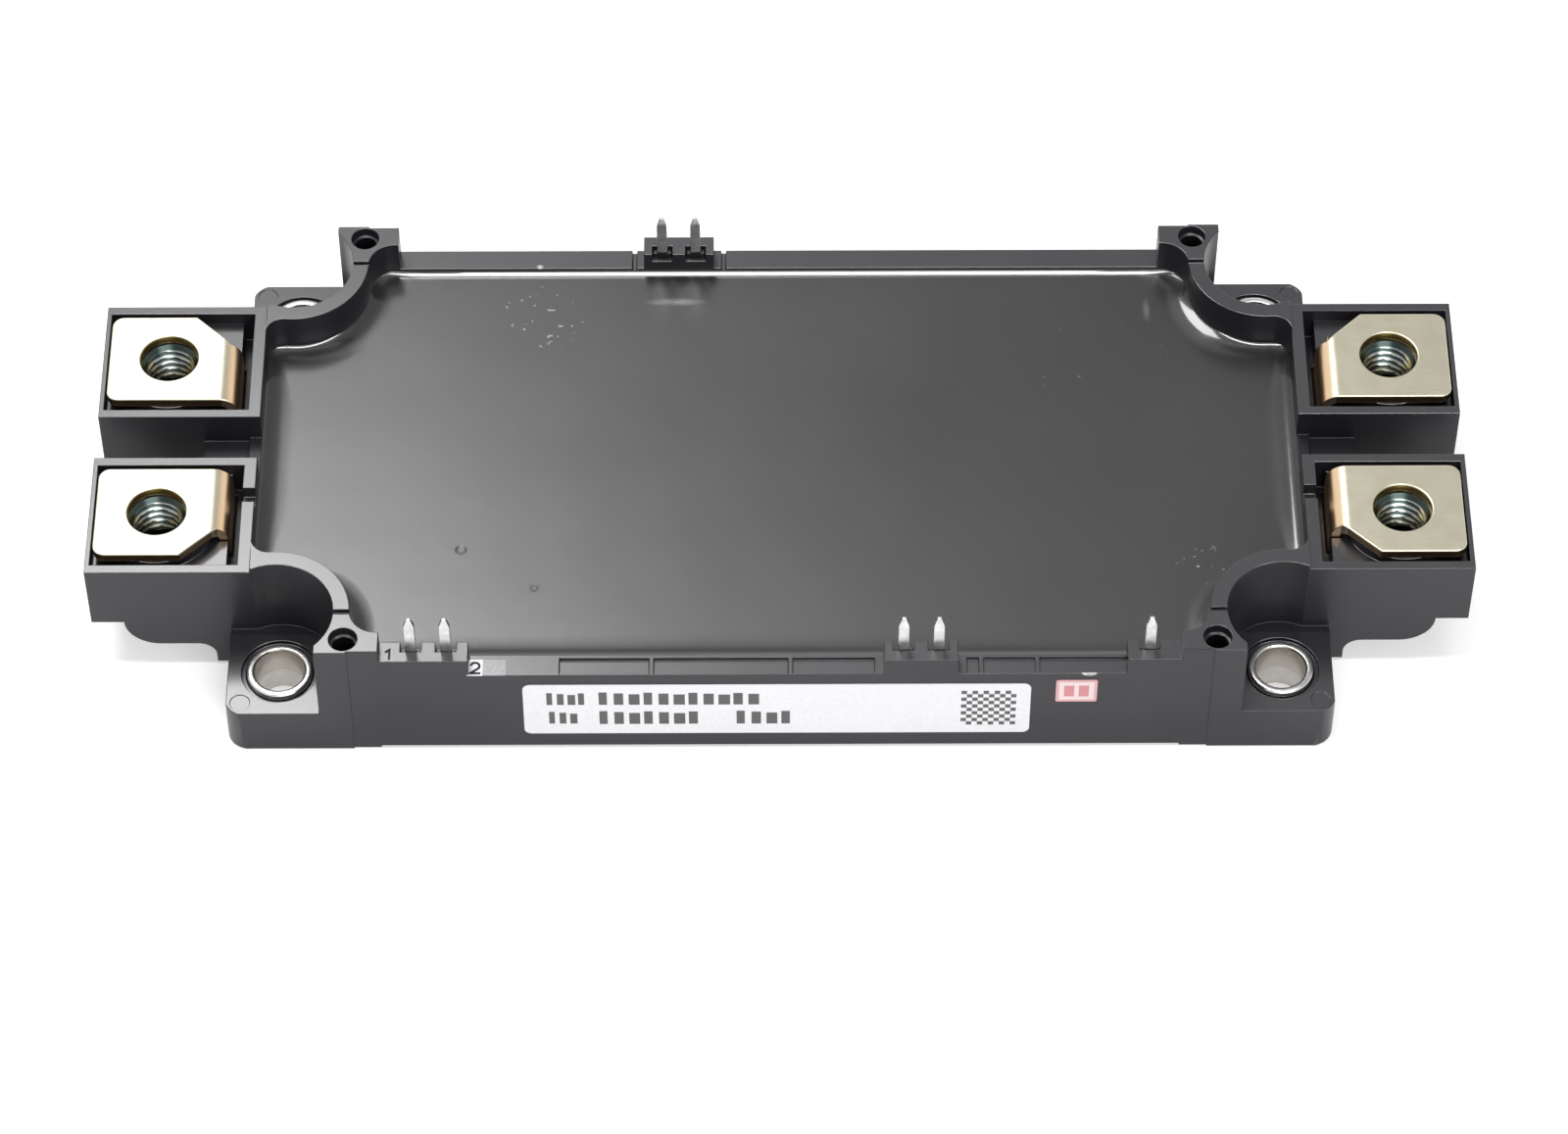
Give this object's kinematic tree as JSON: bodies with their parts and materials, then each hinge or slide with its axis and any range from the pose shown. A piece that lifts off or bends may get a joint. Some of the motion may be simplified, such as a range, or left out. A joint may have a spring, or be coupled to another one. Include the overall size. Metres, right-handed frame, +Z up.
{
  "type": "igbt module",
  "caption": "Flat dual IGBT power module in a dark moulded case with screw terminals at both ends, signal pins along the sides, corner mounting holes and a potted middle.",
  "frame": {"origin": "centre of the underside of the base plate", "axes": "+X along the length of the module, -Y towards the label side, +Z up towards the terminal faces"},
  "size_m": [0.152, 0.062, 0.0205],
  "materials": {
    "case_plastic": "fine-grained dark grey moulding",
    "potting_resin": "glossy dark grey cast resin",
    "terminal_plate": "satin nickel plate over copper",
    "nut_zinc": "bright zinc plate",
    "collar_steel": "turned steel, plated",
    "pin_tin": "bright tin plate over copper",
    "base_nickel": "dull nickel plate over copper",
    "circuit_copper": "bare copper",
    "ceramic": "white insulating sheet",
    "silicon": "polished chip with metallised top",
    "bond_aluminium": "drawn wire",
    "thermistor_black": "glazed chip",
    "label_white": "blank printed-label film"
  },
  "bodies": {
    "root": {"case_frame": "case_plastic", "base_plate": "base_nickel", "insulation_sheet": "ceramic", "circuit_positive": "circuit_copper", "circuit_output": "circuit_copper", "circuit_negative": "circuit_copper", "gate_tracks": "circuit_copper", "thermistor": "thermistor_black", "power_wires_upper": "bond_aluminium", "power_wires_lower": "bond_aluminium", "gate_wires": "bond_aluminium", "pin_wires": "bond_aluminium", "potting_resin": "potting_resin", "label": "label_white", "sticker": "label_white", "terminal_1": "terminal_plate", "terminal_2": "terminal_plate", "terminal_3": "terminal_plate", "terminal_4": "terminal_plate", "nut_1": "nut_zinc", "nut_2": "nut_zinc", "nut_3": "nut_zinc", "nut_4": "nut_zinc", "collar_1": "collar_steel", "collar_2": "collar_steel", "collar_3": "collar_steel", "collar_4": "collar_steel", "signal_pin_1": "pin_tin", "signal_pin_2": "pin_tin", "signal_pin_3": "pin_tin", "signal_pin_4": "pin_tin", "signal_pin_5": "pin_tin", "signal_pin_6": "pin_tin", "signal_pin_7": "pin_tin", "igbt_chip_1": "silicon", "igbt_chip_2": "silicon", "igbt_chip_3": "silicon", "igbt_chip_4": "silicon", "igbt_chip_5": "silicon", "igbt_chip_6": "silicon", "diode_chip_1": "silicon", "diode_chip_2": "silicon", "diode_chip_3": "silicon", "diode_chip_4": "silicon", "diode_chip_5": "silicon", "diode_chip_6": "silicon"}
  },
  "joints": []
}
